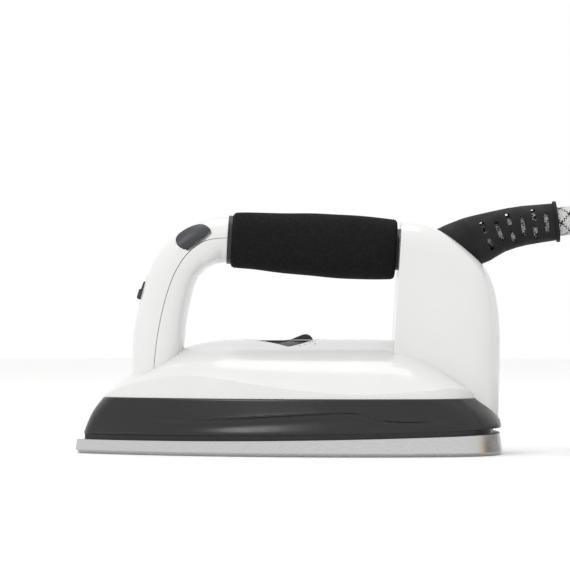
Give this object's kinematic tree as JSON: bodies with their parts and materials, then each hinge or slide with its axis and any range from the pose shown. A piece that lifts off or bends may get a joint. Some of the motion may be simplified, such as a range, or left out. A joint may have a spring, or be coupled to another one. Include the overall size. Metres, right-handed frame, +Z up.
{
  "type": "steam generator iron",
  "caption": "Hand iron of a steam generator: pointed metal soleplate, domed body with temperature lever, arched handle with foam grip, and a braided steam hose in a slotted boot.",
  "frame": {"origin": "middle of the soleplate's bottom face, on the surface that the iron stands on", "axes": "+X from the nose to the heel, where the hose leaves; +Z up through the handle; the iron's left side is -Y"},
  "size_m": [0.4663, 0.1865, 0.1359],
  "materials": {
    "sole_metal": "brushed",
    "steel": "satin",
    "aluminium": "satin",
    "silicone": "matte",
    "black_plastic": "satin",
    "skirt_gloss": "gloss",
    "white_plastic": "gloss",
    "ceramic": "matte",
    "brass": "satin",
    "foam": "grainy matte",
    "button_grey": "satin",
    "dark_plastic": "satin",
    "hose_jacket": "braided",
    "rubber": "matte",
    "board": "satin"
  },
  "bodies": {
    "iron": {"soleplate": "sole_metal", "heating_element": "steel", "chamber_gasket": "silicone", "steam_chamber_cover": "steel", "chamber_screws": "steel", "heater_terminals": "steel", "sole_spacer": "black_plastic", "skirt": "skirt_gloss", "skirt_screws": "steel", "top_cover": "white_plastic", "dial_insert": "black_plastic", "thermostat_body": "ceramic", "thermal_fuse": "ceramic", "heat_shield": "steel", "steam_inlet": "brass", "handle_outer_shell": "white_plastic", "handle_inner_shell": "white_plastic", "handle_core": "aluminium", "foam_grip": "foam", "front_collar": "black_plastic", "rear_collar": "black_plastic", "left_button_spring": "steel", "right_button_spring": "steel", "left_microswitch": "dark_plastic", "right_microswitch": "dark_plastic", "mode_bezel": "white_plastic", "mode_switch_body": "dark_plastic", "steam_hose": "hose_jacket", "hose_tail": "hose_jacket", "hose_coil": "hose_jacket", "cord_boot": "rubber", "boot_flange": "rubber", "rear_housing": "white_plastic", "housing_front_plate": "white_plastic", "hose_union": "brass", "steam_tube": "silicone", "union_bracket": "steel", "boiler_sleeve": "rubber", "steam_nipple": "brass", "boiler_flange": "dark_plastic", "union_nut": "brass", "control_board": "board", "board_standoffs": "dark_plastic", "board_screws": "steel", "terminal_block": "dark_plastic", "wire_loom": "silicone"},
    "left_button": {"left_steam_button": "button_grey", "left_switch_plunger": "dark_plastic"},
    "right_button": {"right_steam_button": "button_grey", "right_switch_plunger": "dark_plastic"},
    "mode_slider": {"mode_slider_knob": "button_grey"},
    "temperature_dial": {"temperature_lever": "black_plastic", "thermostat_spindle": "steel"}
  },
  "joints": [
    {"name": "left_button_press", "type": "slide", "parent": "iron", "child": "left_button", "axis": [0.4082, 0.5772, -0.7073], "range_m": [0, 0.0015], "stiffness_N_per_m": 900, "springref_m": -0.0012, "deforming": ["left_button_spring"]},
    {"name": "right_button_press", "type": "slide", "parent": "iron", "child": "right_button", "axis": [0.4082, -0.5772, -0.7073], "range_m": [0, 0.0015], "stiffness_N_per_m": 900, "springref_m": -0.0012, "deforming": ["right_button_spring"]},
    {"name": "mode_slide", "type": "slide", "parent": "iron", "child": "mode_slider", "axis": [0.2721, 0, 0.9623], "range_m": [0, 0.003]},
    {"name": "temperature_turn", "type": "hinge", "parent": "iron", "child": "temperature_dial", "pos_m": [-0.008, 0, 0.06], "axis": [0, 0, 1], "range_deg": [-55, 55]}
  ]
}
